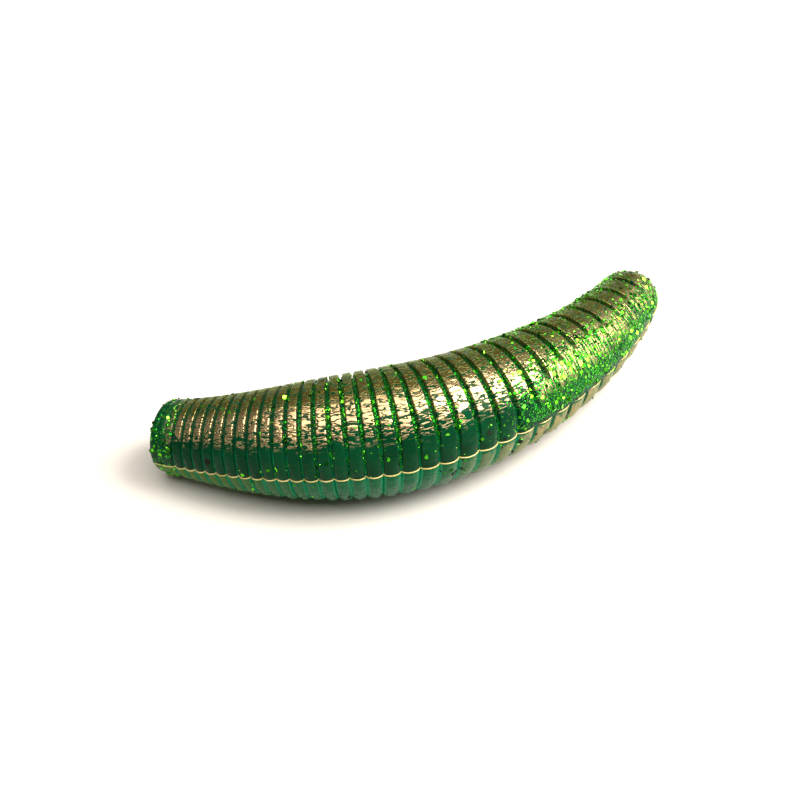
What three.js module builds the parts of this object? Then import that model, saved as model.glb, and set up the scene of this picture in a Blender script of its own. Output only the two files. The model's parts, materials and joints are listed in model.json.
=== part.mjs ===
import * as THREE from "three";

// Soft plastic worm: one ribbed casting with a flat head, a fat middle and a rounded tail tip. It is
// modelled as its ribs, which stand a hair apart and flex against each other at the moulded grooves.
// Millimetres, +Z up. The worm lies curved, its belly on z = 0, with the origin under the middle of its box.
// A station is a distance along the centreline from the flat of the head.

// Length and girth
const BODY_LENGTH = 66;
const GREATEST_RADIUS = 6.68;
const FATTEST_STATION = 24.5;
const HEAD_TAPER = 1.81;
const HEAD_TAPER_RATE = 0.09;
const TAIL_TAPER = 1.95;
const TAIL_TAPER_REACH = 16;
const TIP_LENGTH = 3.6;
const HEAD_EDGE = 0.45;

// Curve of the body, seen from above
const HEAD_HEADING = -20.5;
const STEADY_TURN = 1;
const MIDDLE_TURN = 21;
const MIDDLE_TURN_REACH = 9;

// Ribs and grooves
const RIB_COUNT = 32;
const FIRST_GROOVE = 2.8;
const FINE_PITCH = 1.1;
const PITCH_GROWTH = 0.017;
const COARSE_FROM_GROOVE = 14;
const COARSE_GROWTH = 0.045;
const COARSE_POWER = 1.3;
const GROOVE_WIDTH = 0.2;
const GROOVE_WIDTH_PER_PITCH = 0.16;
const GROOVE_DEPTH = 0.45;
const GROOVE_DEPTH_LEAD = 8;
const GROOVE_DEPTH_REACH = 15;
const GROOVE_WALL = 0.05;

// Flexing grooves: every third one in the fine ribs, then every second one
const FINE_FLEX_EVERY = 3;
const LAST_FINE_FLEX = 17;
const COARSE_FLEX_EVERY = 2;
const BEND_PER_PITCH = 0.62;
const MOST_BEND = 16;
const RIB_GAP = 0.3;
const CREST_CLEARANCE = 0.1;

// Facets
const ROUND_FACETS = 28;
const TIP_RINGS = 7;
const LINE_STEPS = 96;

/** Radius of the crests at a station, without the rounding of the tail tip. */
function crestRadius(station) {
  const fromFattest = station - FATTEST_STATION;
  if (fromFattest < 0) {
    return GREATEST_RADIUS - HEAD_TAPER * (1 - Math.cos(HEAD_TAPER_RATE * fromFattest));
  }
  return GREATEST_RADIUS - TAIL_TAPER * (Math.hypot(1, fromFattest / TAIL_TAPER_REACH) - 1);
}

/** Angle of the centreline above the ground: it climbs as fast as the belly widens under it. */
function climb(station) {
  const step = 0.01;
  return Math.asin((crestRadius(station + step) - crestRadius(station - step)) / (2 * step));
}

/** Direction of the centreline on the ground, in radians from +X. */
function heading(station) {
  const middle = (1 + Math.tanh((station - FATTEST_STATION) / MIDDLE_TURN_REACH)) / 2;
  return THREE.MathUtils.degToRad(HEAD_HEADING + STEADY_TURN * station + MIDDLE_TURN * middle);
}

/** Turn of the centreline on the ground, in radians per millimetre. */
function turnRate(station) {
  const step = 0.01;
  return (heading(station + step) - heading(station - step)) / (2 * step);
}

/** Point of the centreline: its track by Simpson's rule, and high enough for the belly to touch z = 0. */
function centrePoint(station) {
  const point = new THREE.Vector3(0, 0, crestRadius(station) * Math.cos(climb(station)));
  const step = station / LINE_STEPS;
  for (let i = 0; i <= LINE_STEPS; i += 1) {
    const at = i * step;
    const inner = i % 2 === 0 ? 2 : 4;
    const weight = ((i === 0 || i === LINE_STEPS ? 1 : inner) * step) / 3;
    point.x += weight * Math.cos(climb(at)) * Math.cos(heading(at));
    point.y += weight * Math.cos(climb(at)) * Math.sin(heading(at));
  }
  return point;
}

/** Frame of the body at a station: X to the side, Y along the centreline, Z up and square to both. */
function frameAt(station) {
  const turn = new THREE.Euler(climb(station), 0, heading(station) - Math.PI / 2, "ZXY");
  const frame = new THREE.Matrix4().makeRotationFromEuler(turn);
  return frame.setPosition(centrePoint(station));
}

/** Distance from one groove to the next, which grows towards the tail. */
function pitchAfter(groove) {
  const coarse = Math.max(0, groove - COARSE_FROM_GROOVE);
  return FINE_PITCH + PITCH_GROWTH * groove + COARSE_GROWTH * coarse ** COARSE_POWER;
}

/** Stations of the grooves, one more of them than there are ribs. */
function grooveStations() {
  const stations = [FIRST_GROOVE];
  for (let groove = 0; groove < RIB_COUNT; groove += 1) {
    stations.push(stations[groove] + pitchAfter(groove));
  }
  return stations;
}

const GROOVES = grooveStations();

/** Whether the body flexes at a groove. */
function flexes(groove) {
  if (groove <= LAST_FINE_FLEX) {
    return groove % FINE_FLEX_EVERY === FINE_FLEX_EVERY - 1;
  }
  return (groove - LAST_FINE_FLEX) % COARSE_FLEX_EVERY === 0;
}

/** How far the face beside a groove falls back per millimetre of radius, to clear at full bend. */
function faceFall(groove) {
  if (!flexes(groove)) {
    return 0;
  }
  const station = GROOVES[groove];
  const radius = crestRadius(station);
  const wanted = (BEND_PER_PITCH * pitchAfter(groove)) / radius;
  const bend = Math.min(wanted, THREE.MathUtils.degToRad(MOST_BEND));
  const crowding = 1 - radius * turnRate(station);
  return Math.tan(bend / 2) / crowding + CREST_CLEARANCE / radius;
}

/**
 * Half profile of a rib beside one groove, from the axis out to the crest, as (radius, station) points.
 * side is 1 where the rib lies towards the tail of the groove and -1 where it lies towards the head.
 */
function besideGroove(groove, side) {
  const station = GROOVES[groove];
  const fall = faceFall(groove);
  const half = (GROOVE_WIDTH + GROOVE_WIDTH_PER_PITCH * pitchAfter(groove)) / 2;
  const reach = 1 - Math.exp(-(station + GROOVE_DEPTH_LEAD) / GROOVE_DEPTH_REACH);
  const neck = crestRadius(station) - GROOVE_DEPTH * reach;
  const face = RIB_GAP / 2 + neck * fall;
  const edge = Math.max(half, RIB_GAP / 2 + crestRadius(station) * fall) + GROOVE_WALL;
  const point = (radius, offset) => new THREE.Vector2(radius, station + side * offset);
  const points = [point(0, RIB_GAP / 2), point(neck, face)];
  if (face < half) {
    points.push(point(neck, half));
  }
  points.push(point(crestRadius(station + side * edge), edge));
  return points;
}

/** Half profile of the flat head, from the axis out to the crest behind its rounded edge. */
function headProfile() {
  const points = [new THREE.Vector2(0, 0)];
  const rim = crestRadius(0) - HEAD_EDGE;
  for (const share of [0, 0.5, 1]) {
    const angle = (share * Math.PI) / 2;
    const out = rim + HEAD_EDGE * Math.sin(angle);
    points.push(new THREE.Vector2(out, HEAD_EDGE * (1 - Math.cos(angle))));
  }
  return points;
}

/** Half profile of the rounded tail tip, from the crest to its end on the axis. */
function tipProfile() {
  const points = [];
  const start = BODY_LENGTH - TIP_LENGTH;
  for (let ring = 0; ring <= TIP_RINGS; ring += 1) {
    const angle = ((ring / TIP_RINGS) * Math.PI) / 2;
    const station = start + TIP_LENGTH * Math.sin(angle);
    const radius = ring === TIP_RINGS ? 0 : crestRadius(station) * Math.cos(angle);
    points.push(new THREE.Vector2(radius, station));
  }
  return points;
}

/** Turns a profile about the axis, then bends the turned solid along the centreline and gives its mesh. */
function bentMesh(name, profile, colour, roughness) {
  const stations = profile.map((point) => point.y);
  const middle = (Math.min(...stations) + Math.max(...stations)) / 2;
  const toLocal = frameAt(middle).invert();
  const frames = new Map();
  const geometry = new THREE.LatheGeometry(profile, ROUND_FACETS);
  const positions = geometry.getAttribute("position");
  const point = new THREE.Vector3();
  for (let i = 0; i < positions.count; i += 1) {
    const station = positions.getY(i);
    if (!frames.has(station)) {
      frames.set(station, frameAt(station).premultiply(toLocal));
    }
    point.set(positions.getX(i), 0, positions.getZ(i));
    point.applyMatrix4(frames.get(station));
    positions.setXYZ(i, point.x, point.y, point.z);
  }
  geometry.computeVertexNormals();
  const material = new THREE.MeshStandardMaterial({ color: colour, roughness, metalness: 0 });
  const mesh = new THREE.Mesh(geometry, material);
  mesh.name = name;
  mesh.applyMatrix4(frameAt(middle));
  return mesh;
}

/** Node name of the rib between a groove and the next, such as rib_07. */
function ribName(groove) {
  return `rib_${String(groove + 1).padStart(2, "0")}`;
}

const worm = new THREE.Group();

const headPoints = [...headProfile(), ...besideGroove(0, -1).reverse()];
worm.add(bentMesh("head_end", headPoints, "#0c4526", 0.3));

for (let groove = 0; groove < RIB_COUNT; groove += 1) {
  const points = [...besideGroove(groove, 1), ...besideGroove(groove + 1, -1).reverse()];
  worm.add(bentMesh(ribName(groove), points, "#0b5a33", 0.26));
}

const tipPoints = [...besideGroove(RIB_COUNT, 1), ...tipProfile()];
worm.add(bentMesh("tail_tip", tipPoints, "#12702a", 0.3));

// The origin goes to the ground under the middle of the worm's box.
worm.updateMatrixWorld(true);
const box = new THREE.Box3().setFromObject(worm, true);
const middle = box.getCenter(new THREE.Vector3());
worm.position.set(-middle.x, -middle.y, -box.min.z);

export default worm;
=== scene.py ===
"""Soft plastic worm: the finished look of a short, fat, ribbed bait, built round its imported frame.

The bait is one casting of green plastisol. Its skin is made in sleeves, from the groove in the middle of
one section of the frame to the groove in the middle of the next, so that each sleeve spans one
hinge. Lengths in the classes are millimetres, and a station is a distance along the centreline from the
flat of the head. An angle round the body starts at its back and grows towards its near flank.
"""

import json
import logging
import math
from dataclasses import dataclass, field
from enum import Enum
from functools import cached_property

import bmesh
import bpy
import numpy as np
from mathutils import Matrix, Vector

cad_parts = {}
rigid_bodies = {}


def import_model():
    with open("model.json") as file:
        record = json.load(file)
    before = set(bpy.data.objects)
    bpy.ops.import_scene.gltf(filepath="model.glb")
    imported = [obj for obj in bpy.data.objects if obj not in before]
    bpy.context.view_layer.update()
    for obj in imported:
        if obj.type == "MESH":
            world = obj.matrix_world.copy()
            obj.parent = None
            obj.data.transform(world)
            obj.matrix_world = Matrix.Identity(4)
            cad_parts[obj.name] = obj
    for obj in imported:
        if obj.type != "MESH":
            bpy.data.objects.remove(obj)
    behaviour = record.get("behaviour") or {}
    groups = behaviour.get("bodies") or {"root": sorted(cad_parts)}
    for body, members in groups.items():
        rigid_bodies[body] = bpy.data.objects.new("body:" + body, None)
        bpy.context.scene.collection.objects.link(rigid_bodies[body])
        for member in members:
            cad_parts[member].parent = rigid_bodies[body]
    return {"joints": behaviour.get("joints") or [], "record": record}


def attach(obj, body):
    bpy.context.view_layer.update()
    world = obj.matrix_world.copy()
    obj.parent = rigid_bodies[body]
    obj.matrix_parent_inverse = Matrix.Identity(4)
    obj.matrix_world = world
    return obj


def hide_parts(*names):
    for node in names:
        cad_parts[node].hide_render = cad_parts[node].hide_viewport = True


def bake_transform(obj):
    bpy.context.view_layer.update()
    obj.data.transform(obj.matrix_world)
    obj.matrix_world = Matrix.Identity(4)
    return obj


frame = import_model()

LOG = logging.getLogger("worm")
MM = 0.001
PARTING = 90.0  # degrees from the back to where the two mould halves met

Colour = tuple[float, float, float]
Range = tuple[float, float]


def smooth(low: float, high: float, value: np.ndarray) -> np.ndarray:
    """Rises smoothly from 0 at low to 1 at high.

    Args:
        low: Where the rise starts.
        high: Where it ends, which may be lower than low for a fall.
        value: The numbers to look up.

    Returns:
        Numbers from 0 to 1, one for each value.
    """
    share = np.clip((value - low) / (high - low), 0, 1)
    return share * share * (3 - 2 * share)


class Number:
    """A number in a node tree. Arithmetic on it adds Math nodes to the tree."""

    def __init__(self, tree: bpy.types.NodeTree, socket: bpy.types.NodeSocket) -> None:
        """Keeps the tree and the output socket that gives the number."""
        self.tree = tree
        self.socket = socket

    def maths(self, operation: str, *others: "Number | float") -> "Number":
        """Adds one Math node.

        Args:
            operation: The node's operation, such as MULTIPLY.
            others: Its other inputs, as numbers or as constants.

        Returns:
            The node's result.
        """
        node = self.tree.nodes.new("ShaderNodeMath")
        node.operation = operation
        for slot, value in zip(node.inputs, (self, *others), strict=False):
            if isinstance(value, Number):
                self.tree.links.new(value.socket, slot)
            else:
                slot.default_value = value
        return Number(self.tree, node.outputs[0])

    def __add__(self, other: "Number | float") -> "Number":
        """Sum."""
        return self.maths("ADD", other)

    def __sub__(self, other: "Number | float") -> "Number":
        """Difference."""
        return self.maths("SUBTRACT", other)

    def __mul__(self, other: "Number | float") -> "Number":
        """Product."""
        return self.maths("MULTIPLY", other)

    def __truediv__(self, other: "Number | float") -> "Number":
        """Quotient."""
        return self.maths("DIVIDE", other)

    def flipped(self) -> "Number":
        """One minus the number."""
        return (self * -1.0) + 1.0

    def exp(self) -> "Number":
        """e to the power of the number."""
        return self.maths("EXPONENT")

    def ramp(self, low: "Number | float", high: "Number | float", top: float = 1.0) -> "Number":
        """Rises smoothly with the number.

        Args:
            low: Where the rise starts, at 0.
            high: Where it ends.
            top: What it rises to.

        Returns:
            The output of a Map Range node.
        """
        node = self.tree.nodes.new("ShaderNodeMapRange")
        node.interpolation_type = "SMOOTHSTEP"
        for name, value in (("Value", self), ("From Min", low), ("From Max", high), ("To Max", top)):
            if isinstance(value, Number):
                self.tree.links.new(value.socket, node.inputs[name])
            else:
                node.inputs[name].default_value = value
        return Number(self.tree, node.outputs[0])


@dataclass(frozen=True)
class Centreline:
    """The line that the body follows, and its girth along it."""

    head: tuple[float, float, float]
    length: float = 66.0
    greatest_radius: float = 6.68
    fattest_station: float = 24.5
    head_taper: float = 1.81
    head_taper_rate: float = 0.09
    tail_taper: float = 1.95
    tail_taper_reach: float = 16.0
    tip_length: float = 3.6
    head_heading: float = -20.5
    steady_turn: float = 1.0
    middle_turn: float = 21.0
    middle_turn_reach: float = 9.0
    step: float = 0.02

    def radius(self, station: np.ndarray) -> np.ndarray:
        """Radius of the crests, without the rounding of the tail tip.

        Args:
            station: Stations.

        Returns:
            A radius for each station.
        """
        past = np.asarray(station, float) - self.fattest_station
        head = self.head_taper * (1 - np.cos(self.head_taper_rate * past))
        tail = self.tail_taper * (np.hypot(1, past / self.tail_taper_reach) - 1)
        return self.greatest_radius - np.where(past < 0, head, tail)

    def climb(self, station: np.ndarray) -> np.ndarray:
        """Angle of the line above the ground, in radians.

        Args:
            station: Stations.

        Returns:
            An angle for each station.
        """
        reach = self.step / 2
        rise = self.radius(np.add(station, reach)) - self.radius(np.subtract(station, reach))
        return np.arcsin(rise / (2 * reach))

    def heading(self, station: np.ndarray) -> np.ndarray:
        """Direction of the line on the ground, in radians from +X.

        Args:
            station: Stations.

        Returns:
            An angle for each station.
        """
        past = np.asarray(station, float) - self.fattest_station
        middle = (1 + np.tanh(past / self.middle_turn_reach)) / 2
        turn = self.head_heading + self.steady_turn * np.asarray(station) + self.middle_turn * middle
        return np.radians(turn)

    @cached_property
    def track(self) -> tuple[np.ndarray, np.ndarray, np.ndarray]:
        """Stations at a fine step, and the X and Y of the line at them."""
        stations = np.arange(0, self.length + 2 * self.step, self.step)
        middle = stations[:-1] + self.step / 2
        flat = np.cos(self.climb(middle)) * self.step
        across = np.cumsum(flat * np.cos(self.heading(middle)))
        away = np.cumsum(flat * np.sin(self.heading(middle)))
        x = self.head[0] + np.concatenate([[0], across])
        y = self.head[1] + np.concatenate([[0], away])
        return stations, x, y

    def point(self, station: np.ndarray) -> np.ndarray:
        """Points of the line at the stations, with X, Y and Z last.

        Args:
            station: Stations.

        Returns:
            The points.
        """
        stations, x, y = self.track
        height = self.radius(station) * np.cos(self.climb(station))
        across, away = np.interp(station, stations, x), np.interp(station, stations, y)
        return np.stack([across, away, height], -1)

    def axes(self, station: np.ndarray) -> tuple[np.ndarray, np.ndarray, np.ndarray]:
        """Unit vectors along the line, to the near flank and up to the back, at the stations.

        Args:
            station: Stations.

        Returns:
            The three vectors, with X, Y and Z last.
        """
        turn, climb = self.heading(station), self.climb(station)
        flat = np.cos(climb)
        along = np.stack([flat * np.cos(turn), flat * np.sin(turn), np.sin(climb)], -1)
        side = np.stack([np.sin(turn), -np.cos(turn), np.zeros_like(flat)], -1)
        return along, side, np.cross(side, along)


@dataclass(frozen=True)
class RibPattern:
    """Where the ribs and grooves lie, and how wide the grooves are."""

    ribs: int = 32
    first_groove: float = 2.8
    fine_pitch: float = 1.1
    pitch_growth: float = 0.017
    coarse_from: int = 14
    coarse_growth: float = 0.045
    coarse_power: float = 1.3
    width: float = 0.24
    width_per_pitch: float = 0.18
    wall: float = 0.09
    edge: float = 0.05
    narrow_at_parting: float = 0.42
    pinch_angles: Range = (45.0, 86.0)
    pinch_end: float = PARTING + 0.5
    least_floor: float = 0.03
    crest_step: float = 0.11
    roundness: float = 0.9
    end_fade: float = 0.6

    def pitch(self, groove: int) -> float:
        """Distance from a groove to the next.

        Args:
            groove: The groove, from 0 at the head.

        Returns:
            The distance.
        """
        coarse = max(0, groove - self.coarse_from)
        fine = self.fine_pitch + self.pitch_growth * groove
        return fine + self.coarse_growth * coarse**self.coarse_power

    @cached_property
    def grooves(self) -> list[float]:
        """Stations of the grooves, one more of them than there are ribs."""
        stations = [self.first_groove]
        for groove in range(self.ribs):
            stations.append(stations[groove] + self.pitch(groove))
        return stations

    def scallop(self, station: np.ndarray) -> np.ndarray:
        """How far a round-topped rib has fallen away: 0 at its middle and 1 in the groove beside it.

        Args:
            station: Stations.

        Returns:
            A share for each station.
        """
        grooves = np.array(self.grooves)
        after = np.clip(np.searchsorted(grooves, station), 1, len(grooves) - 1)
        low, high = grooves[after - 1], grooves[after]
        across = np.clip(np.abs(2 * station - low - high) / (high - low), 0, 1)
        fallen = (1 - np.sqrt(1 - self.roundness * across**2)) / (1 - math.sqrt(1 - self.roundness))
        beyond = np.maximum(grooves[0] - station, station - grooves[-1])
        return np.where(beyond > 0, np.clip(1 - beyond / self.end_fade, 0, 1) ** 2, fallen)

    def half_width(self, groove: int, around: np.ndarray) -> np.ndarray:
        """Half of a groove's width at each angle: the upper mould half pinches it at the parting.

        Args:
            groove: The groove.
            around: Angles round the body, in radians.

        Returns:
            Half of the width at each angle.
        """
        half = (self.width + self.width_per_pitch * self.pitch(groove)) / 2
        turned = np.degrees(np.abs(around))
        pinch = (1 - self.narrow_at_parting) * smooth(*self.pinch_angles, turned) * (turned < self.pinch_end)
        return half * (1 - pinch)


@dataclass(frozen=True)
class Row:
    """One ring of a sleeve: its station at each angle, its share of a groove's depth, and of the girth."""

    station: np.ndarray
    profile: float
    shrink: float = 1.0


@dataclass
class SleeveShape:
    """Lays out the rings of the skin from one groove to another, on the smooth outside of the crests.

    GROOVE_RINGS goes out from the middle of a groove. Each row has the shares of its floor, its wall and
    its crest edge that are passed, and the share of its depth. FAINT_RINGS has an offset and that share.
    """

    GROOVE_RINGS = (
        (0.0, 0.0, 0.0, 1.0),
        (0.5, 0.0, 0.0, 1.0),
        (1.0, 0.0, 0.0, 0.98),
        (1.0, 0.35, 0.0, 0.72),
        (1.0, 0.75, 0.0, 0.22),
        (1.0, 1.0, 0.0, 0.05),
        (1.0, 1.0, 1.0, 0.0),
    )
    FAINT_RINGS = ((-0.2, 0.0), (-0.11, 0.5), (-0.05, 1.0), (0.05, 1.0), (0.11, 0.5), (0.2, 0.0))
    FACE_SHARES = (0.0, 0.25, 0.5, 0.75, 0.9, 1.0)
    QUARTERS = (0.25, 0.5, 0.75, 1.0)

    line: Centreline
    pattern: RibPattern
    columns: int = 240
    head_edge: float = 0.45
    faint_grooves: tuple[float, ...] = (0.95, 1.85)
    faint_depth: float = 0.35
    faint_half: float = 0.22
    tip_rings: int = 36
    head_roll: float = 12.0
    roll_reach: float = 7.0
    tail_roll: float = -4.2
    around: np.ndarray = field(init=False)

    def __post_init__(self) -> None:
        """Sets the angles round the body, from one flank over the back to the other and under the belly."""
        self.around = -math.pi + (np.arange(self.columns) + 0.5) * 2 * math.pi / self.columns

    def roll(self, station: np.ndarray) -> np.ndarray:
        """How far the parting plane is rolled about the centreline, in radians."""
        return np.radians(self.head_roll * np.exp(-np.asarray(station) / self.roll_reach) + self.tail_roll)

    def tip_share(self, station: np.ndarray) -> np.ndarray:
        """Share of the crest radius that is left where the tail tip rounds off.

        Args:
            station: Stations.

        Returns:
            A share for each station.
        """
        into = (np.asarray(station) - (self.line.length - self.line.tip_length)) / self.line.tip_length
        return np.sqrt(np.clip(1 - np.clip(into, 0, 1) ** 2, 0, 1))

    def beside(self, groove: int, side: int) -> list[Row]:
        """Rings from the middle of a groove out to its crest edge.

        Args:
            groove: The groove.
            side: 1 towards the tail, and -1 towards the head.

        Returns:
            The rings, from the middle outwards.
        """
        half = self.pattern.half_width(groove, self.around)
        wall, edge = self.pattern.wall, self.pattern.edge
        middle = self.pattern.grooves[groove]
        floor = np.maximum(half - wall, self.pattern.least_floor)
        rows = []
        for on_floor, on_wall, on_edge, profile in self.GROOVE_RINGS:
            offset = on_floor * floor + on_wall * wall + on_edge * edge
            rows.append(Row(middle + side * offset, profile))
        return rows

    def crest(self, start: Row, end: Row) -> list[Row]:
        """Rings spread evenly over a crest between its two edges.

        Args:
            start: The ring at its headward edge.
            end: The ring at its tailward edge.

        Returns:
            The rings between them.
        """
        span = float(np.max(end.station - start.station))
        count = max(2, int(span / self.pattern.crest_step))
        shares = [i / count for i in range(1, count)]
        return [Row(start.station * (1 - s) + end.station * s, 0.0) for s in shares]

    def ribs_between(self, first: int, last: int) -> list[Row]:
        """Rings from the middle of one groove to the middle of a later one.

        Args:
            first: The groove to start in.
            last: The groove to end in.

        Returns:
            The rings, from head to tail.
        """
        rows: list[Row] = []
        for groove in range(first, last):
            start = self.beside(groove, 1)
            end = self.beside(groove + 1, -1)[::-1]
            rows += start if groove == first else start[1:]
            rows += self.crest(start[-1], end[0]) + end
        return rows

    def flat(self, station: float, profile: float = 0.0, shrink: float = 1.0) -> Row:
        """A ring square to the centreline."""
        return Row(np.full(self.columns, station), profile, shrink)

    def head_rows(self, last: int) -> list[Row]:
        """Rings from the middle of the head's flat, over its edge, to the middle of a groove.

        Args:
            last: The groove to end in.

        Returns:
            The rings, from head to tail.
        """
        rim = float(self.line.radius(0.0))
        inner = 1 - self.head_edge / rim
        rows = [self.flat(0.0, 0.0, inner * share) for share in self.FACE_SHARES]
        for share in self.QUARTERS:
            angle = share * math.pi / 2
            station = self.head_edge * (1 - math.cos(angle))
            rows.append(self.flat(station, 0.0, inner + (1 - inner) * math.sin(angle)))
        start = self.head_edge
        for middle in self.faint_grooves:
            gap = middle - self.faint_half - start
            rows += [self.flat(start + gap * share) for share in self.QUARTERS[:-1]]
            for offset, share in self.FAINT_RINGS:
                rows.append(self.flat(middle + offset, self.faint_depth * share))
            start = middle + self.faint_half
        end = self.beside(0, -1)[::-1]
        rows += self.crest(self.flat(start), end[0]) + end
        return rows + self.ribs_between(0, last)[1:]

    def tip_rows(self, first: int) -> list[Row]:
        """Rings from the middle of a groove to the end of the tail tip.

        Args:
            first: The groove to start in.

        Returns:
            The rings, from head to tail.
        """
        start = self.beside(first, 1)
        taper_end = self.line.length - self.line.tip_length
        rows = start + self.crest(start[-1], self.flat(taper_end)) + [self.flat(taper_end)]
        for ring in range(1, self.tip_rings + 1):
            angle = ring / self.tip_rings * math.pi / 2
            rows.append(self.flat(taper_end + self.line.tip_length * math.sin(angle)))
        return rows


def new_tree(
    name: str, numbers: dict[str, float], others: dict[str, str]
) -> tuple[bpy.types.NodeTree, bpy.types.Node]:
    """Starts a Geometry Nodes tree that takes a mesh, some numbers and a material.

    Args:
        name: The tree's name.
        numbers: Its inputs that are plain numbers, with their values.
        others: The socket types of any other inputs, by their names.

    Returns:
        The tree, and the node that gives its inputs.
    """
    tree = bpy.data.node_groups.new(name, "GeometryNodeTree")
    new_socket = tree.interface.new_socket
    new_socket(name="Geometry", in_out="INPUT", socket_type="NodeSocketGeometry")
    new_socket(name="Geometry", in_out="OUTPUT", socket_type="NodeSocketGeometry")
    for key, value in numbers.items():
        new_socket(name=key, in_out="INPUT", socket_type="NodeSocketFloat").default_value = value
    for key, kind in (others | {"Material": "NodeSocketMaterial"}).items():
        new_socket(name=key, in_out="INPUT", socket_type=kind)
    return tree, tree.nodes.new("NodeGroupInput")


class RibCutter:
    """Geometry Nodes that cut the grooves, run them out on the tail's flanks and scribe those flanks.

    The three noises have their fineness along the body first, and then across it.
    """

    NUMBERS = {
        "Depth": 0.72,
        "Depth lead": 8.0,
        "Depth reach": 15.0,
        "Run-out station": 34.5,
        "Run-out reach": 4.2,
        "Run-out angle": 18.0,
        "Run-out swing": 82.0,
        "Run-out fade": 13.0,
        "Parting depth share": 0.75,
        "Scribe depth": 0.035,
        "Waviness": 0.03,
        "Shallow from": 55.0,
        "Rounded from": 62.0,
    }
    SWELL = (0.5, 0.5, 0.5)
    DRIFT = (1.0, 0.1, 0.1)
    SCRIBE = (3.2, 0.12, 0.12)

    def __init__(self) -> None:
        """Builds the tree once, for every sleeve."""
        self.tree, self.entry = new_tree("RibCutter", self.NUMBERS, {})
        self.fill()

    def given(self, name: str) -> Number:
        """A named input of the tree."""
        return Number(self.tree, self.entry.outputs[name])

    def stored(self, name: str) -> Number:
        """A number that each point of the mesh carries."""
        return Number(self.tree, attribute(self.tree, name, "FLOAT"))

    def noise(self, scale: tuple[float, float, float], detail: float) -> Number:
        """Noise on the straightened body, from -1 to 1.

        Args:
            scale: Its fineness along the body and both ways across it.
            detail: How many finer layers it has.

        Returns:
            The noise at each point.
        """
        vector = self.tree.nodes.new("ShaderNodeVectorMath")
        vector.operation = "MULTIPLY"
        vector.inputs[1].default_value = scale
        self.tree.links.new(attribute(self.tree, "sleeve", "FLOAT_VECTOR"), vector.inputs[0])
        noise = self.tree.nodes.new("ShaderNodeTexNoise")
        noise.inputs["Scale"].default_value = 1.0
        noise.inputs["Detail"].default_value = detail
        self.tree.links.new(vector.outputs[0], noise.inputs["Vector"])
        return (Number(self.tree, noise.outputs[0]) - 0.5) * 2.0

    def fill(self) -> None:
        """Adds the nodes between the tree's input and its output."""
        station, turned = self.stored("station"), self.stored("turned")
        reach = ((station + self.given("Depth lead")) / self.given("Depth reach") * -1.0).exp().flipped()
        past = (station - self.given("Run-out station")) / self.given("Run-out reach")
        stop = self.given("Run-out angle") + self.given("Run-out swing") * (past * -1.0).exp()
        upper = turned.maths("LESS_THAN", PARTING)
        run_out = turned.ramp(stop, stop + self.given("Run-out fade")) * upper
        share = turned.ramp(self.given("Shallow from"), PARTING) * self.given("Parting depth share").flipped()
        depth = self.given("Depth") * reach * run_out.flipped() * share.flipped()
        rounded = turned.ramp(self.given("Rounded from"), PARTING)
        cut = self.stored("profile") * rounded.flipped() + self.stored("scallop") * rounded
        scribed = self.noise(self.SCRIBE, 2.0) * self.given("Scribe depth") * run_out
        wavy = (self.noise(self.SWELL, 1.0) + self.noise(self.DRIFT, 1.0)) * self.given("Waviness") * 0.5
        out = wavy + scribed - depth * cut
        offset = self.tree.nodes.new("ShaderNodeVectorMath")
        offset.operation = "SCALE"
        self.tree.links.new(attribute(self.tree, "outward", "FLOAT_VECTOR"), offset.inputs[0])
        self.tree.links.new((out * MM).socket, offset.inputs["Scale"])
        move = self.tree.nodes.new("GeometryNodeSetPosition")
        self.tree.links.new(self.entry.outputs["Geometry"], move.inputs["Geometry"])
        self.tree.links.new(offset.outputs[0], move.inputs["Offset"])
        kept = keep_number(self.tree, move.outputs[0], "run_out", run_out)
        finish_tree(self.tree, self.entry, kept)


def attribute(tree: bpy.types.NodeTree, name: str, kind: str) -> bpy.types.NodeSocket:
    """A named attribute of the mesh in a Geometry Nodes tree.

    Args:
        tree: The tree.
        name: The attribute's name.
        kind: FLOAT or FLOAT_VECTOR.

    Returns:
        The socket that gives it.
    """
    node = tree.nodes.new("GeometryNodeInputNamedAttribute")
    node.data_type = kind
    node.inputs["Name"].default_value = name
    return node.outputs["Attribute"]


def keep_number(
    tree: bpy.types.NodeTree, geometry: bpy.types.NodeSocket, name: str, value: Number
) -> bpy.types.NodeSocket:
    """Stores a number on each point.

    Args:
        tree: The tree.
        geometry: The socket that gives the geometry.
        name: Name of the attribute to store.
        value: The number.

    Returns:
        The socket that gives the geometry with the number on it.
    """
    store = tree.nodes.new("GeometryNodeStoreNamedAttribute")
    store.data_type = "FLOAT"
    store.inputs["Name"].default_value = name
    tree.links.new(geometry, store.inputs["Geometry"])
    tree.links.new(value.socket, store.inputs["Value"])
    return store.outputs[0]


def finish_tree(tree: bpy.types.NodeTree, entry: bpy.types.Node, geometry: bpy.types.NodeSocket) -> None:
    """Ends a tree in Realize Instances and Set Material.

    Args:
        tree: The tree.
        entry: The node that gives its inputs.
        geometry: The socket that gives what the tree has made.
    """
    realize = tree.nodes.new("GeometryNodeRealizeInstances")
    dress = tree.nodes.new("GeometryNodeSetMaterial")
    exit_node = tree.nodes.new("NodeGroupOutput")
    tree.links.new(geometry, realize.inputs[0])
    tree.links.new(realize.outputs[0], dress.inputs["Geometry"])
    tree.links.new(entry.outputs["Material"], dress.inputs["Material"])
    tree.links.new(dress.outputs[0], exit_node.inputs[0])


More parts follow.
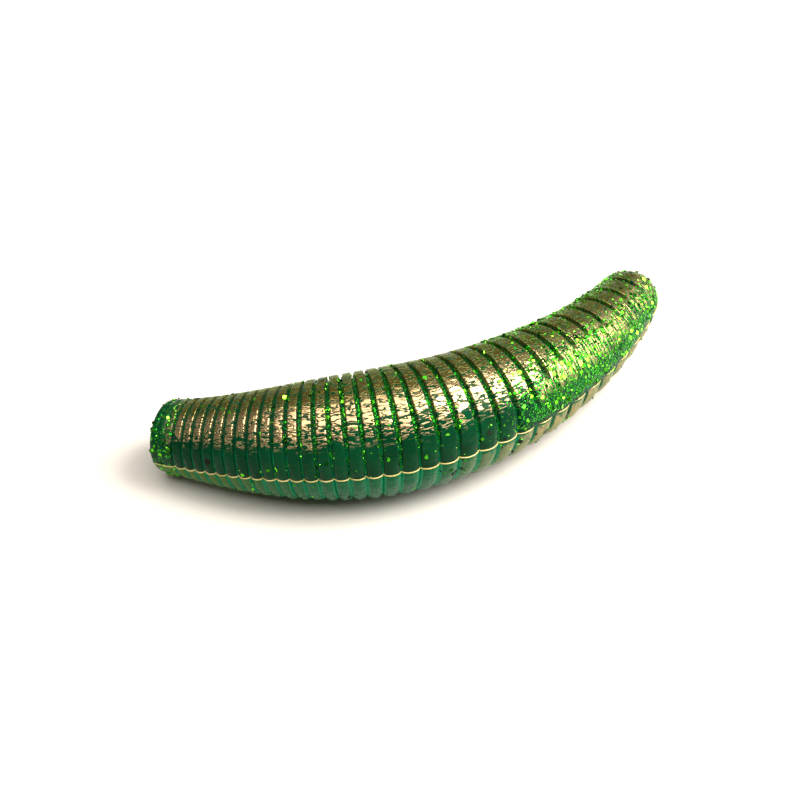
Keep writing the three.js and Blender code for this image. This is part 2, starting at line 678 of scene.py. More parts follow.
def run_tree(
    name: str, mesh: bpy.types.Mesh, tree: bpy.types.NodeTree, settings: dict[str, object]
) -> bpy.types.Mesh:
    """Runs a Geometry Nodes tree on a mesh.

    Args:
        name: Name of the new mesh.
        mesh: What the tree starts from.
        tree: The tree.
        settings: Values of its inputs, by their names.

    Returns:
        The result as a plain mesh.
    """
    helper = bpy.data.objects.new(f"{name}_helper", mesh)
    bpy.context.scene.collection.objects.link(helper)
    modifier = helper.modifiers.new("nodes", "NODES")
    modifier.node_group = tree
    items = tree.interface.items_tree
    sockets = {item.name: item.identifier for item in items if item.in_out == "INPUT"}
    for key, value in settings.items():
        modifier[sockets[key]] = value
    depsgraph = bpy.context.evaluated_depsgraph_get()
    made = bpy.data.meshes.new_from_object(
        helper.evaluated_get(depsgraph), preserve_all_data_layers=True, depsgraph=depsgraph
    )
    made.name = name
    helper.modifiers.remove(modifier)
    bpy.data.objects.remove(helper)
    return made


class FlakeScatter:
    """Geometry Nodes that lay six-sided flakes over a skin, thickest where the casting holds most of them.

    NUMBERS are those of the green flake, in metres and radians, and BLACK_NUMBERS say where the black flake
    differs. Few flakes are large, because a size is picked by a chance to the size power.
    """

    NUMBERS = {
        "Most per area": 1.0e7,
        "Apart": 0.00014,
        "Smallest": 0.75,
        "Largest": 3.2,
        "Size power": 4.0,
        "Radius": 0.00009,
        "Thickness": 0.00002,
        "Tilt": 0.55,
        "Raise": 0.00001,
    }
    BLACK_NUMBERS = {
        "Most per area": 5e5,
        "Apart": 0.0006,
        "Radius": 0.00014,
        "Tilt": 0.08,
        "Raise": 0.000004,
    }
    FLAKE_SIDES = 6
    TONE_SEED = 11
    TURN_SEED = 12
    SIZE_SEED = 13

    def __init__(self) -> None:
        """Builds the tree once, for every sleeve and both kinds of flake."""
        others = {"Seed": "NodeSocketInt", "Where": "NodeSocketString"}
        self.tree, self.entry = new_tree("FlakeScatter", self.NUMBERS, others)
        self.fill()

    def given(self, name: str) -> Number:
        """A named input of the tree."""
        return Number(self.tree, self.entry.outputs[name])

    def link(self, source: bpy.types.NodeSocket | str, target: bpy.types.NodeSocket) -> None:
        """Joins an output, or a named input of the tree, to a node's input."""
        start = self.entry.outputs[source] if isinstance(source, str) else source
        self.tree.links.new(start, target)

    def random(self, kind: str, low: object, high: object, salt: int) -> bpy.types.NodeSocket:
        """A random value for each flake.

        Args:
            kind: FLOAT or FLOAT_VECTOR.
            low: Its least value.
            high: Its greatest value.
            salt: Its own fixed seed.

        Returns:
            The socket that gives it.
        """
        node = self.tree.nodes.new("FunctionNodeRandomValue")
        node.data_type = kind
        shown = [s for s in node.inputs if s.enabled and s.name in ("Min", "Max")]
        for slot, value in zip(shown, (low, high), strict=True):
            slot.default_value = value
        node.inputs["Seed"].default_value = salt
        return enabled_output(node)

    def fill(self) -> None:
        """Adds the nodes between the tree's input and its output."""
        nodes = self.tree.nodes
        density = nodes.new("GeometryNodeInputNamedAttribute")
        density.data_type = "FLOAT"
        self.link("Where", density.inputs["Name"])
        spread = nodes.new("GeometryNodeDistributePointsOnFaces")
        spread.distribute_method = "POISSON"
        self.link("Geometry", spread.inputs["Mesh"])
        self.link("Apart", spread.inputs["Distance Min"])
        self.link("Most per area", spread.inputs["Density Max"])
        self.link("Seed", spread.inputs["Seed"])
        self.link(density.outputs["Attribute"], spread.inputs["Density Factor"])
        lift = nodes.new("ShaderNodeVectorMath")
        lift.operation = "SCALE"
        self.link(spread.outputs["Normal"], lift.inputs[0])
        self.link("Raise", lift.inputs["Scale"])
        move = nodes.new("GeometryNodeSetPosition")
        self.link(spread.outputs["Points"], move.inputs["Geometry"])
        self.link(lift.outputs[0], move.inputs["Offset"])
        tone = Number(self.tree, self.random("FLOAT", 0.0, 1.0, self.TONE_SEED))
        store = keep_number(self.tree, move.outputs[0], "tone", tone)
        most = (1.0, 1.0, math.pi)
        turn = self.random("FLOAT_VECTOR", tuple(-limit for limit in most), most, self.TURN_SEED)
        tilt = nodes.new("ShaderNodeVectorMath")
        tilt.operation = "MULTIPLY"
        amount = nodes.new("ShaderNodeCombineXYZ")
        self.link("Tilt", amount.inputs["X"])
        self.link("Tilt", amount.inputs["Y"])
        amount.inputs["Z"].default_value = 1.0
        self.link(turn, tilt.inputs[0])
        self.link(amount.outputs[0], tilt.inputs[1])
        to_rotation = nodes.new("FunctionNodeEulerToRotation")
        self.link(tilt.outputs[0], to_rotation.inputs[0])
        rotate = nodes.new("FunctionNodeRotateRotation")
        rotate.rotation_space = "LOCAL"
        self.link(spread.outputs["Rotation"], rotate.inputs[0])
        self.link(to_rotation.outputs[0], rotate.inputs[1])
        flake = nodes.new("GeometryNodeMeshCylinder")
        flake.inputs["Vertices"].default_value = self.FLAKE_SIDES
        self.link("Radius", flake.inputs["Radius"])
        self.link("Thickness", flake.inputs["Depth"])
        power, smallest, largest = (self.given(name) for name in ("Size power", "Smallest", "Largest"))
        chance = Number(self.tree, self.random("FLOAT", 0.0, 1.0, self.SIZE_SEED)).maths("POWER", power)
        size = smallest + (largest - smallest) * chance
        place = nodes.new("GeometryNodeInstanceOnPoints")
        self.link(store, place.inputs["Points"])
        self.link(flake.outputs["Mesh"], place.inputs["Instance"])
        self.link(rotate.outputs[0], place.inputs["Rotation"])
        self.link(size.socket, place.inputs["Scale"])
        finish_tree(self.tree, self.entry, place.outputs[0])


def enabled_output(node: bpy.types.Node) -> bpy.types.NodeSocket:
    """The output that a node with several kinds of value gives for its present kind."""
    return next(s for s in node.outputs if s.enabled)


class FlashRoller:
    """Geometry Nodes that roll a thin bead of flash along the parting line."""

    NUMBERS = {"Bead radius": 0.000075}
    BEAD_SIDES = 7

    def __init__(self) -> None:
        """Builds the tree once, for every sleeve."""
        self.tree, entry = new_tree("FlashRoller", self.NUMBERS, {})
        path = self.tree.nodes.new("GeometryNodeMeshToCurve")
        section = self.tree.nodes.new("GeometryNodeCurvePrimitiveCircle")
        section.inputs["Resolution"].default_value = self.BEAD_SIDES
        sweep = self.tree.nodes.new("GeometryNodeCurveToMesh")
        sweep.inputs["Fill Caps"].default_value = True
        link = self.tree.links.new
        link(entry.outputs["Geometry"], path.inputs["Mesh"])
        link(entry.outputs["Bead radius"], section.inputs["Radius"])
        link(path.outputs["Curve"], sweep.inputs["Curve"])
        link(section.outputs["Curve"], sweep.inputs["Profile Curve"])
        finish_tree(self.tree, entry, sweep.outputs["Mesh"])


@dataclass(frozen=True)
class Grain:
    """A noise pattern: its fineness along the body and both ways across it, its detail and its warp."""

    scale: tuple[float, float, float]
    detail: float
    warp: float = 0.0


class Finish:
    """A material under construction: a Principled shader and short ways to add patterns to it."""

    def __init__(self, name: str, roughness: float, **plain: object) -> None:
        """Starts the material.

        Args:
            name: The material's name.
            roughness: Its plain roughness.
            plain: Values of the shader's other sockets, with _ for a space.
        """
        self.material = bpy.data.materials.new(name)
        self.material.use_nodes = True
        self.tree = self.material.node_tree
        self.shader = self.tree.nodes["Principled BSDF"]
        self.shader.inputs["Roughness"].default_value = roughness
        for key, value in plain.items():
            self.shader.inputs[key.replace("_", " ")].default_value = value

    def number(self, name: str) -> Number:
        """An attribute of the mesh, as a number."""
        node = self.tree.nodes.new("ShaderNodeAttribute")
        node.attribute_name = name
        return Number(self.tree, node.outputs["Fac"])

    def straightened(self, scale: tuple[float, float, float]) -> bpy.types.NodeSocket:
        """Place on the straightened body, stretched by its own amount each way.

        Args:
            scale: The stretch along the body and both ways across it.

        Returns:
            The socket that gives the place.
        """
        place = self.tree.nodes.new("ShaderNodeAttribute")
        place.attribute_name = "sleeve"
        node = self.tree.nodes.new("ShaderNodeVectorMath")
        node.operation = "MULTIPLY"
        node.inputs[1].default_value = scale
        self.tree.links.new(place.outputs["Vector"], node.inputs[0])
        return node.outputs[0]

    def noise(self, grain: Grain) -> Number:
        """Noise on the straightened body, from 0 to 1.

        Args:
            grain: The noise's pattern.

        Returns:
            The noise.
        """
        node = self.tree.nodes.new("ShaderNodeTexNoise")
        node.inputs["Scale"].default_value = 1.0
        node.inputs["Detail"].default_value = grain.detail
        node.inputs["Distortion"].default_value = grain.warp
        self.tree.links.new(self.straightened(grain.scale), node.inputs["Vector"])
        return Number(self.tree, node.outputs["Fac"])

    def blend(self, share: Number, first: object, second: object) -> bpy.types.NodeSocket:
        """Mixes two colours.

        Args:
            share: How much of the second there is.
            first: A colour, plain or from a socket.
            second: The other colour.

        Returns:
            The socket that gives the mix.
        """
        node = self.tree.nodes.new("ShaderNodeMix")
        node.data_type = "RGBA"
        node.clamp_factor = True
        self.tree.links.new(share.socket, node.inputs["Factor"])
        slots = [s for s in node.inputs if s.enabled and s.name in ("A", "B")]
        for slot, value in zip(slots, (first, second), strict=True):
            if isinstance(value, bpy.types.NodeSocket):
                self.tree.links.new(value, slot)
            else:
                slot.default_value = (*value, 1.0)
        return enabled_output(node)

    def bump(self, height: Number, distance: float, strength: float) -> None:
        """Adds a fine relief over any that is already there.

        Args:
            height: The relief.
            distance: What a height of 1 stands for, in metres.
            strength: How much of the relief counts.
        """
        node = self.tree.nodes.new("ShaderNodeBump")
        node.inputs["Strength"].default_value = strength
        node.inputs["Distance"].default_value = distance
        self.tree.links.new(height.socket, node.inputs["Height"])
        before = self.shader.inputs["Normal"].links
        if before:
            self.tree.links.new(before[0].from_socket, node.inputs["Normal"])
        self.tree.links.new(node.outputs[0], self.shader.inputs["Normal"])

    def set(self, name: str, value: Number | bpy.types.NodeSocket) -> None:
        """Drives a socket of the shader.

        Args:
            name: The socket's name.
            value: What drives it.
        """
        socket = value.socket if isinstance(value, Number) else value
        self.tree.links.new(socket, self.shader.inputs[name])


@dataclass(frozen=True)
class Plastisol:
    """Deep green plastisol with fine flake in it, a painted glow in its grooves, and a bronze metallic sheen
    painting warm reflections on its crests.

    Angles are degrees from the back, and stations are millimetres. A range is where a smooth rise starts
    and ends.
    """

    name: str
    deep: Colour = (0.001, 0.026, 0.009)
    cloud_gain: float = 1.6
    # The two groove colours are painted light: a glow of light through thin plastic, brighter low on the
    # flank.
    groove: Colour = (0.001, 0.055, 0.02)
    low_groove_glow: Colour = (0.005, 0.2, 0.085)
    belly: Colour = (0.003, 0.085, 0.03)
    olive: Colour = (0.05, 0.11, 0.014)
    # The sheen colours tint a metallic layer on the crests. The metal reflects the lamps, but its place and
    # warm colour paint the reflections of warm light; the second, darker colour paints a dimmer reflection.
    painted_sheen: Colour = (0.54, 0.38, 0.2)
    shaded_sheen: Colour = (0.2, 0.165, 0.045)
    flake: Colour = (0.03, 0.5, 0.01)
    shine: Colour = (0.38, 0.6, 0.36)
    refraction: float = 1.22
    roughness: float = 0.2
    groove_roughness: float = 0.15
    sheen_share: float = 0.85
    flake_metal: float = 0.85
    flakes_per_mm: float = 5.5
    under_relief: float = 0.6
    scribe_relief: float = 1.6
    sheen_relief: float = 0.4
    relief: float = 0.7
    dent_height: float = 0.0002
    crease_height: float = 0.0001
    flake_edge: Range = (0.42, 0.3)
    flake_chance: float = 0.05
    cloud_range: Range = (0.35, 0.7)
    olive_stations: Range = (4.0, 18.0)
    # Where the painted glow in the grooves brightens down the flank, and how much of it is lost towards the
    # tail.
    low_angles: Range = (50.0, 75.0)
    low_stations: Range = (32.0, 44.0)
    low_loss: float = 0.8
    groove_range: Range = (0.3, 0.9)
    # Where the sheen turns from its darker colour, a painted shade over the back, to its lit colour.
    back_angles: Range = (6.0, 26.0)
    cloud: Grain = Grain((0.25, 0.25, 0.25), 3.0)
    dents: Grain = Grain((0.9, 1.6, 1.6), 2.0)
    scribes: Grain = Grain((5.0, 0.5, 0.5), 2.0, 0.3)
    wander: Grain = Grain((1.2, 1.2, 1.2), 3.0)
    prints: Grain = Grain((1.0, 2.8, 2.8), 1.5, 0.5)
    combing: Grain = Grain((3.0, 0.5, 0.5), 2.0, 0.4)
    wander_angle: float = 22.0
    print_lines: float = 20.0
    print_edge: float = 0.8
    print_gap: float = 0.95
    print_angles: Range = (30.0, 68.0)
    streak_range: Range = (0.46, 0.56)
    # How far down the near flank the painted sheen reaches: to the lower edge of the highlight, further
    # towards the tail.
    sheen_angle: float = 40.0
    sheen_fade: float = 20.0
    wider_angle: float = 10.0
    wider_stations: Range = (4.0, 26.0)
    head_stations: Range = (1.2, 4.0)
    # Where the sheen paints tan reflections on the crests under the parting line, towards the tail.
    belly_sheen_angles: Range = (92.0, 98.0)
    belly_sheen_stations: Range = (26.0, 42.0)
    belly_sheen_end: Range = (150.0, 175.0)
    belly_sheen_share: float = 0.3
    combed_share: float = 0.45
    combed_range: Range = (0.3, 0.6)

    def printed(self, finish: Finish, turned: Number) -> Number:
        """Fine lines in the painted sheen like those of a fingertip, which break up down the flank to paint
        the fading edge of the highlight.

        Args:
            finish: The material under construction.
            turned: Angle from the back.

        Returns:
            1 on a line's crest, and 0 between lines.
        """
        lines = (finish.noise(self.prints) * self.print_lines).maths("SINE")
        gap = turned.ramp(*self.print_angles) * (2 * self.print_gap) - self.print_gap
        return lines.ramp(gap, gap + self.print_edge)

    def sheen_cover(self, finish: Finish, crest: Number) -> Number:
        """How much painted sheen there is: over the back down to the lower edge of the highlight, and under
        the parting line towards the tail.

        Args:
            finish: The material under construction.
            crest: 1 on a crest and 0 in a groove.

        Returns:
            How much there is, from 0 to 1.
        """
        station, run_out = finish.number("station"), finish.number("run_out")
        turned = finish.number("turned") + (finish.noise(self.wander) - 0.5) * self.wander_angle
        printed = self.printed(finish, turned) * run_out.flipped()
        # On the tail's flanks the sheen lies in streaks along the scribes, which paints streaky highlights.
        streaks = finish.noise(self.scribes).ramp(*self.streak_range) * run_out
        edge = station.ramp(*self.wider_stations) * self.wider_angle + self.sheen_angle
        over = turned.ramp(edge, edge + self.sheen_fade).flipped() * station.ramp(*self.head_stations)
        # Under the parting line towards the tail, the sheen paints tan reflections on the crests.
        under = turned.ramp(*self.belly_sheen_angles) * station.ramp(*self.belly_sheen_stations)
        combed = finish.noise(self.combing).ramp(*self.combed_range) * self.combed_share + self.belly_sheen_share
        belly = under * turned.ramp(*self.belly_sheen_end).flipped() * combed
        return (over * (printed + streaks) + belly) * crest * self.sheen_share

    def speckle(self, finish: Finish) -> Number:
        """Where a fine flake shows, as 0 or 1.

        Args:
            finish: The material under construction.

        Returns:
            1 on a flake.
        """
        cells = finish.tree.nodes.new("ShaderNodeTexVoronoi")
        cells.inputs["Scale"].default_value = 1.0
        finish.tree.links.new(finish.straightened((self.flakes_per_mm,) * 3), cells.inputs["Vector"])
        chance = Number(finish.tree, cells.outputs["Color"])
        inside = Number(finish.tree, cells.outputs["Distance"]).ramp(*self.flake_edge)
        scarce = finish.number("glitter").flipped()
        return inside * chance.ramp(scarce, scarce + self.flake_chance)

    def plastic(self, finish: Finish, under: Number, in_groove: Number) -> bpy.types.NodeSocket:
        """Colour of the plastic, lighter below the parting line and olive there towards the head, with a
        painted glow of light through thin plastic in the grooves.

        Args:
            finish: The material under construction.
            under: 1 below the parting line.
            in_groove: 1 in a groove.

        Returns:
            The socket that gives the colour.
        """
        station = finish.number("station")
        cloudy = tuple(part * self.cloud_gain for part in self.deep)
        shade = finish.blend(finish.noise(self.cloud).ramp(*self.cloud_range), self.deep, cloudy)
        belly = finish.blend(station.ramp(*self.olive_stations), self.olive, self.belly)
        shade = finish.blend(under, shade, belly)
        # Painted glow: the grooves are brighter low on the flank, and less so past the middle of the body.
        kept = station.ramp(*self.low_stations) * -self.low_loss + 1.0
        low = finish.number("turned").ramp(*self.low_angles) * kept
        return finish.blend(in_groove, shade, finish.blend(low, self.groove, self.low_groove_glow))

    def made(self) -> bpy.types.Material:
        """Builds the material.

        Returns:
            The finished material.
        """
        finish = Finish(self.name, self.roughness, IOR=self.refraction, Specular_Tint=(*self.shine, 1.0))
        turned, run_out = finish.number("turned"), finish.number("run_out")
        under = turned.ramp(PARTING - 0.5, PARTING + 1.0)
        in_groove = finish.number("profile").ramp(*self.groove_range) * run_out.flipped()
        colour = self.plastic(finish, under, in_groove)
        painted_sheen = self.sheen_cover(finish, in_groove.flipped())
        # Painted shade: the sheen takes its darker colour over the back and on the far flank, and its lit
        # colour on the near flank.
        bright = turned.ramp(*self.back_angles) * finish.number("near")
        sheen_tint = finish.blend(bright, self.shaded_sheen, self.painted_sheen)
        seen = self.speckle(finish)
        finish.set("Base Color", finish.blend(seen, finish.blend(painted_sheen, colour, sheen_tint), self.flake))
        finish.set("Metallic", painted_sheen.maths("MAXIMUM", seen * self.flake_metal))
        finish.set("Roughness", in_groove * self.groove_roughness + self.roughness)
        scribed = finish.noise(self.scribes) * run_out.maths("MAXIMUM", under * self.under_relief)
        creased = painted_sheen * run_out.flipped() * self.sheen_relief
        finish.bump(finish.noise(self.dents), self.dent_height, self.relief)
        finish.bump(creased + scribed * self.scribe_relief, self.crease_height, self.relief)
        return finish.material


@dataclass(frozen=True)
class Glitter:
    """Metal flake seen through a film of green plastic."""

    name: str = "GreenGlitter"
    dull: Colour = (0.004, 0.17, 0.006)
    bright: Colour = (0.25, 1.0, 0.03)
    metal: float = 0.95
    roughness: float = 0.22
    smoother: float = -0.06

    def made(self) -> bpy.types.Material:
        """Builds the material.

        Returns:
            The finished material.
        """
        finish = Finish(self.name, self.roughness, Metallic=self.metal)
        tone = finish.number("tone")
        tone = tone * tone
        finish.set("Base Color", finish.blend(tone, self.dull, self.bright))
        finish.set("Roughness", tone * self.smoother + self.roughness)
        return finish.material


@dataclass(frozen=True)
class Pepper:
    """Black flake, a little green."""

    name: str = "PepperFlake"
    dark: Colour = (0.004, 0.006, 0.004)
    pale: Colour = (0.01, 0.02, 0.01)
    shine: float = 0.05
    roughness: float = 0.25
    rougher: float = 0.2

    def made(self) -> bpy.types.Material:
        """Builds the material.

        Returns:
            The finished material.
        """
        finish = Finish(self.name, self.roughness, Specular_IOR_Level=self.shine)
        tone = finish.number("tone")
        finish.set("Base Color", finish.blend(tone, self.dark, self.pale))
        finish.set("Roughness", tone * self.rougher + self.roughness)
        return finish.material


@dataclass(frozen=True)
class Flash:
    """Thin pale flash, where the plastic is too thin to look green."""

    name: str = "FlashLine"
    thick: Colour = (0.42, 0.36, 0.09)
    thin: Colour = (0.62, 0.5, 0.2)
    roughness: float = 0.3
    patches: float = 1500.0
    patch_range: Range = (0.35, 0.65)

    def made(self) -> bpy.types.Material:
        """Builds the material.

        Returns:
            The finished material.
        """
        finish = Finish(self.name, self.roughness)
        node = finish.tree.nodes.new("ShaderNodeTexNoise")
        node.inputs["Scale"].default_value = self.patches
        place = finish.tree.nodes.new("ShaderNodeTexCoord")
        finish.tree.links.new(place.outputs["Object"], node.inputs["Vector"])
        patch = Number(finish.tree, node.outputs["Fac"]).ramp(*self.patch_range)
        finish.set("Base Color", finish.blend(patch, self.thick, self.thin))
        return finish.material


class Flakes(Enum):
    """The two kinds of flake that are cast in, by the attribute that says where each is thick."""

    GREEN = "glitter"
    BLACK = "pepper"


@dataclass(frozen=True)
class FlakePlan:
    """How thick each kind of flake lies, as a share of the most that the casting holds anywhere.

    Angles are degrees from the back, and stations are millimetres. A range is where a smooth rise starts
    and ends.
    """

    face: float = 0.3
    face_from: float = 0.1
    tail: Range = (31.0, 41.0)
    flank: Range = (10.0, 38.0)
    back_loss: float = 0.75
    groove_gain: float = 0.5
    parting: Range = (83.0, 88.0)
    belly_loss: float = 0.92
    head_end: Range = (2.2, 3.2)
    head: float = 0.4
    stray: float = 0.03
    in_groove: float = 0.9
    groove_stations: Range = (8.0, 22.0)
    groove_angles: Range = (70.0, 95.0)
    pepper_start: Range = (22.0, 30.0)
    pepper_end: Range = (40.0, 47.0)
    pepper_above: Range = (62.0, 85.0)
    pepper_below: Range = (110.0, 130.0)

    def glitter(self, station: np.ndarray, turned: np.ndarray, profile: np.ndarray) -> np.ndarray:
        """How thick the green flake is: thickest in the tail's flanks and the very head.

        Args:
            station: Stations.
            turned: Angles from the back.
            profile: Shares of a groove's depth.

        Returns:
            A share for each point.
        """
        tail = smooth(*self.tail, station)
        back = 1 - self.back_loss * (1 - smooth(*self.flank, turned)) * (1 - self.groove_gain * profile)
        belly = 1 - self.belly_loss * smooth(*self.parting, turned)
        head = 1 - smooth(*self.head_end, station)
        along, round_body = smooth(*self.groove_stations, station), 1 - smooth(*self.groove_angles, turned)
        middle = self.stray + self.in_groove * profile * along * round_body
        return np.clip(np.maximum(tail * back * belly, head * self.head) + middle * (1 - tail), 0, 1)

    def on_face(self, shrink: np.ndarray) -> np.ndarray:
        """How thick the green flake is on the head's flat, by the share of its radius."""
        return self.face * (shrink > self.face_from)

    def pepper(self, station: np.ndarray, turned: np.ndarray) -> np.ndarray:
        """How thick the black flake is: gathered along the parting line past the middle of the body.

        Args:
            station: Stations.
            turned: Angles from the back.

        Returns:
            A share for each point.
        """
        along = smooth(*self.pepper_start, station) * (1 - smooth(*self.pepper_end, station))
        near = smooth(*self.pepper_above, turned) * (1 - smooth(*self.pepper_below, turned))
        return self.stray + (1 - self.stray) * along * near


@dataclass
class Sleeve:
    """One stretch of skin with its flakes and flash, and the bodies that it lies on."""

    name: str
    rows: list[Row]
    shape: SleeveShape
    nodes: list[str]
    slot: str
    skin: bpy.types.Material
    bodies: list[str]
    zone: tuple[Vector, Vector] | None = None
    seed: int = 0
    plan: FlakePlan = FlakePlan()
    face_angle: float = 60.0
    near_range: Range = (-0.25, 0.15)
    pepper_seed_step: int = 500
    same_place: float = 1e-7

    def base_mesh(self) -> bpy.types.Mesh:
        """Joins the rings to an open tube on the outside of the crests.

        Returns:
            The tube, with what the trees and the finishes read on each point.
        """
        shape, line = self.shape, self.shape.line
        around = shape.around
        station = np.stack([row.station for row in self.rows])
        profile = np.stack([np.full(shape.columns, row.profile) for row in self.rows])
        shrink = np.stack([np.full(shape.columns, row.shrink) for row in self.rows])
        angle = around[None, :] + shape.roll(station)
        _, side, up = line.axes(station)
        outward = np.cos(angle)[..., None] * up + np.sin(angle)[..., None] * side
        radius = line.radius(station) * shrink * shape.tip_share(station)
        place = (line.point(station) + radius[..., None] * outward) * MM
        turned = np.degrees(np.abs(np.broadcast_to(around, station.shape)))
        turned = np.where(shrink < 1, self.face_angle, turned)
        # near marks the near flank and the belly, where the finish paints the sheen in its lit colour.
        near = np.maximum(smooth(*self.near_range, np.sin(around)), turned > PARTING)
        sleeve = np.stack([station, radius * np.cos(angle), radius * np.sin(angle)], -1)
        mesh = bpy.data.meshes.new(f"{self.name}_base")
        mesh.from_pydata(place.reshape(-1, 3).tolist(), [], self.faces(len(self.rows), shape.columns))
        glitter = self.plan.glitter(station, turned, profile)
        self.store(mesh, "profile", profile)
        self.store(mesh, "scallop", shape.pattern.scallop(station))
        self.store(mesh, "station", station)
        self.store(mesh, "turned", turned)
        self.store(mesh, "near", near)
        self.store(mesh, "glitter", np.where(shrink < 1, self.plan.on_face(shrink), glitter))
        self.store(mesh, "pepper", self.plan.pepper(station, turned))
        self.store(mesh, "outward", outward)
        self.store(mesh, "sleeve", sleeve)
        return mesh

    @staticmethod
    def faces(rows: int, columns: int) -> list[tuple[int, int, int, int]]:
        """Four-sided faces between the rings, facing out.

        Args:
            rows: How many rings there are.
            columns: How many points each has.

        Returns:
            The faces' corners.
        """
        found = []
        for row in range(rows - 1):
            for column in range(columns):
                after = (column + 1) % columns
                low, high = row * columns, (row + 1) * columns
                found.append((low + column, low + after, high + after, high + column))
        return found

    @staticmethod
    def store(mesh: bpy.types.Mesh, name: str, values: np.ndarray) -> None:
        """Puts a number or a vector on each point of a mesh.

        Args:
            mesh: The mesh.
            name: The attribute's name.
            values: One for each point, ring by ring.
        """
        vector = values.shape[-1] == 3 and values.ndim == 3
        layer = mesh.attributes.new(name, "FLOAT_VECTOR" if vector else "FLOAT", "POINT")
        layer.data.foreach_set("vector" if vector else "value", values.astype(np.float32).ravel())

    def skin_piece(self, cutter: RibCutter) -> tuple[bpy.types.Object, bpy.types.Mesh]:
        """Cuts the ribs and closes the tube.

        Args:
            cutter: The tree that cuts them.

        Returns:
            The finished skin, and the open tube that flakes are laid on.
        """
        tube = run_tree(f"{self.name}_tube", self.base_mesh(), cutter.tree, {"Material": self.skin})
        closed = tube.copy()
        work = bmesh.new()
        work.from_mesh(closed)
        bmesh.ops.remove_doubles(work, verts=work.verts, dist=self.same_place)
        rim = [edge for edge in work.edges if edge.is_boundary]
        for edge in rim:
            edge.smooth = False
        caps = bmesh.ops.holes_fill(work, edges=rim, sides=0)["faces"]
        for face in work.faces:
            face.smooth = True
        for face in caps:
            face.smooth = False
        bmesh.ops.recalc_face_normals(work, faces=work.faces)
        work.to_mesh(closed)
        work.free()
        closed.name = self.name
        piece = bpy.data.objects.new(self.name, closed)
        bpy.context.scene.collection.objects.link(piece)
        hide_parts(*self.nodes)
        return piece, tube

    def flash_piece(
        self, tube: bpy.types.Mesh, roller: FlashRoller, finish: bpy.types.Material
    ) -> bpy.types.Object:
        """Rolls the flash along both parting lines of the tube.

        Args:
            tube: The open tube with its ribs cut.
            roller: The tree that makes the bead.
            finish: The bead's material.

        Returns:
            The finished flash.
        """
        columns = self.shape.columns
        place = np.zeros(len(tube.vertices) * 3, np.float32)
        tube.vertices.foreach_get("co", place)
        rings = place.reshape(-1, columns, 3)
        rows = [i for i, row in enumerate(self.rows) if row.shrink >= 1]
        points: list[list[float]] = []
        edges: list[tuple[int, int]] = []
        for turn in (-math.pi / 2, math.pi / 2):
            after = int(np.searchsorted(self.shape.around, turn))
            line = rings[rows, after if turn > 0 else after - 1]
            start = len(points)
            points += line.tolist()
            edges += [(start + i, start + i + 1) for i in range(len(line) - 1)]
        path = bpy.data.meshes.new(f"{self.name}_path")
        path.from_pydata(points, edges, [])
        mesh = run_tree(f"{self.name}_flash", path, roller.tree, {"Material": finish})
        return self.shown(mesh, "flash_line")

    def flake_piece(
        self, tube: bpy.types.Mesh, kind: Flakes, scatter: FlakeScatter, finish: bpy.types.Material
    ) -> bpy.types.Object | None:
        """Lays one kind of flake on the tube.

        Args:
            tube: The open tube with its ribs cut.
            kind: The kind of flake.
            scatter: The tree that lays them.
            finish: Their material.

        Returns:
            The flakes, or None where the sleeve has none.
        """
        settings: dict[str, object] = {"Where": kind.value, "Seed": self.seed, "Material": finish}
        if kind is Flakes.BLACK:
            settings |= scatter.BLACK_NUMBERS | {"Seed": self.seed + self.pepper_seed_step}
        mesh = run_tree(f"{self.name}_{kind.value}", tube, scatter.tree, settings)
        if not mesh.polygons:
            return None
        slot = "green_glitter" if kind is Flakes.GREEN else "pepper_flake"
        return self.shown(mesh, slot)

    def shown(self, mesh: bpy.types.Mesh, slot: str) -> bpy.types.Object:
        """Puts a finished mesh in the scene.

        Args:
            mesh: The mesh.
            slot: Its material slot in the record; not used.

        Returns:
            The new piece.
        """
        piece = bpy.data.objects.new(mesh.name, mesh)
        bpy.context.scene.collection.objects.link(piece)
        return piece

    def follow(self, piece: bpy.types.Object) -> None:
        """Makes a piece ride on the sleeve's body, or bakes its placement into its mesh where the sleeve
        spans a hinge.

        Args:
            piece: The piece.
        """
        if self.zone is None:
            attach(piece, self.bodies[0])
        else:
            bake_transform(piece)


